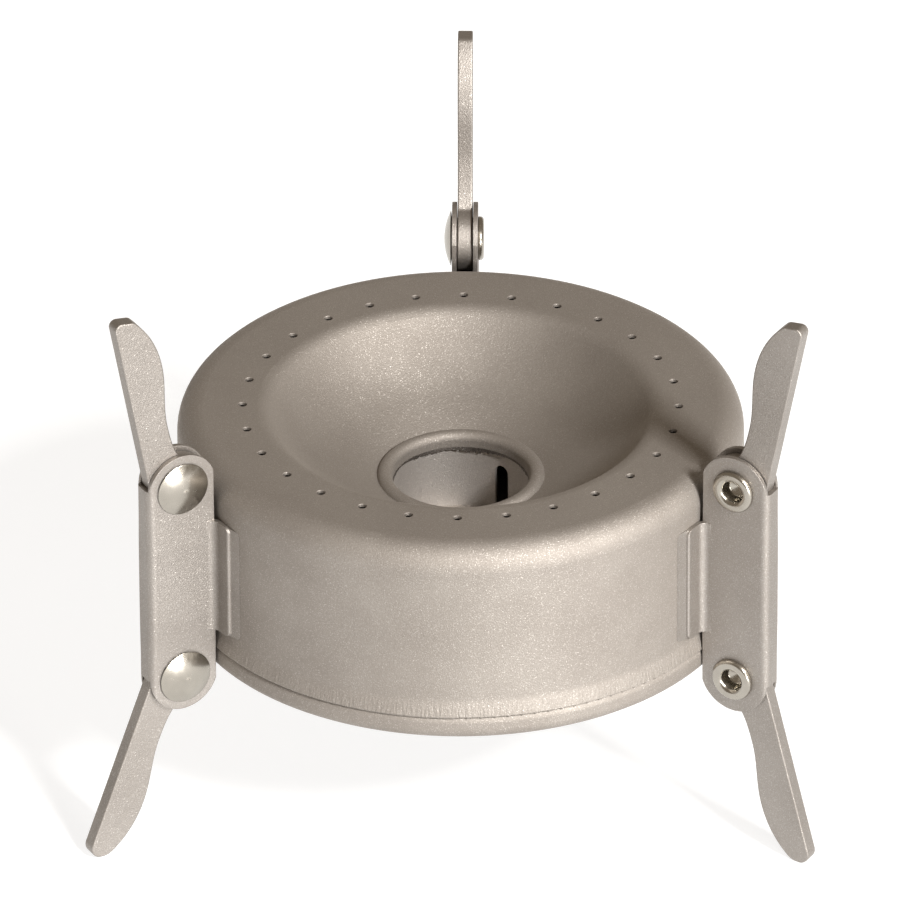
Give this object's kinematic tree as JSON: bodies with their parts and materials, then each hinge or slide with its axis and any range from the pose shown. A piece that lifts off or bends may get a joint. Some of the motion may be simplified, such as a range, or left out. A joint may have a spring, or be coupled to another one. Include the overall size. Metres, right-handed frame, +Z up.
{
  "type": "folding spirit stove",
  "caption": "Round pressed-titanium spirit burner with a dished top, a ring of flame jets, a filler opening, and riveted folding pot supports and folding legs.",
  "frame": {"origin": "on the burner's axis, in the plane of the flat ring under the body", "axes": "+Z up along the burner's axis, out of the filler opening; +Y towards the bracket at the back; +X to the right"},
  "size_m": [0.085, 0.0819, 0.0719],
  "materials": {
    "body_titanium": "bead-blasted titanium",
    "bracket_titanium": "bead-blasted titanium",
    "blade_titanium": "bead-blasted titanium",
    "rivet_steel": "polished steel"
  },
  "bodies": {
    "burner": {"outer_shell": "body_titanium", "base_pan": "body_titanium", "inner_tube": "body_titanium", "bracket_rear": "bracket_titanium", "bracket_left": "bracket_titanium", "bracket_right": "bracket_titanium", "support_rivet_rear": "rivet_steel", "support_rivet_left": "rivet_steel", "support_rivet_right": "rivet_steel", "leg_rivet_rear": "rivet_steel", "leg_rivet_left": "rivet_steel", "leg_rivet_right": "rivet_steel"},
    "pot_support_rear": {"pot_support_rear": "blade_titanium"},
    "leg_rear": {"leg_rear": "blade_titanium"},
    "pot_support_left": {"pot_support_left": "blade_titanium"},
    "leg_left": {"leg_left": "blade_titanium"},
    "pot_support_right": {"pot_support_right": "blade_titanium"},
    "leg_right": {"leg_right": "blade_titanium"}
  },
  "joints": [
    {"name": "pot_support_rear_fold", "type": "hinge", "parent": "burner", "child": "pot_support_rear", "pos_m": [0, 0.0376, 0.0259], "axis": [1, 0, 0], "range_deg": [0, 102.5]},
    {"name": "leg_rear_fold", "type": "hinge", "parent": "burner", "child": "leg_rear", "pos_m": [0, 0.0376, 0.0005], "axis": [-1, 0, 0], "range_deg": [0, 98.4]},
    {"name": "pot_support_left_fold", "type": "hinge", "parent": "burner", "child": "pot_support_left", "pos_m": [-0.03256, -0.0188, 0.0259], "axis": [-0.5, 0.866, 0], "range_deg": [0, 99]},
    {"name": "leg_left_fold", "type": "hinge", "parent": "burner", "child": "leg_left", "pos_m": [-0.03256, -0.0188, 0.0005], "axis": [0.5, -0.866, 0], "range_deg": [0, 101.9]},
    {"name": "pot_support_right_fold", "type": "hinge", "parent": "burner", "child": "pot_support_right", "pos_m": [0.03256, -0.0188, 0.0259], "axis": [-0.5, -0.866, 0], "range_deg": [0, 100]},
    {"name": "leg_right_fold", "type": "hinge", "parent": "burner", "child": "leg_right", "pos_m": [0.03256, -0.0188, 0.0005], "axis": [0.5, 0.866, 0], "range_deg": [0, 95.4]}
  ]
}
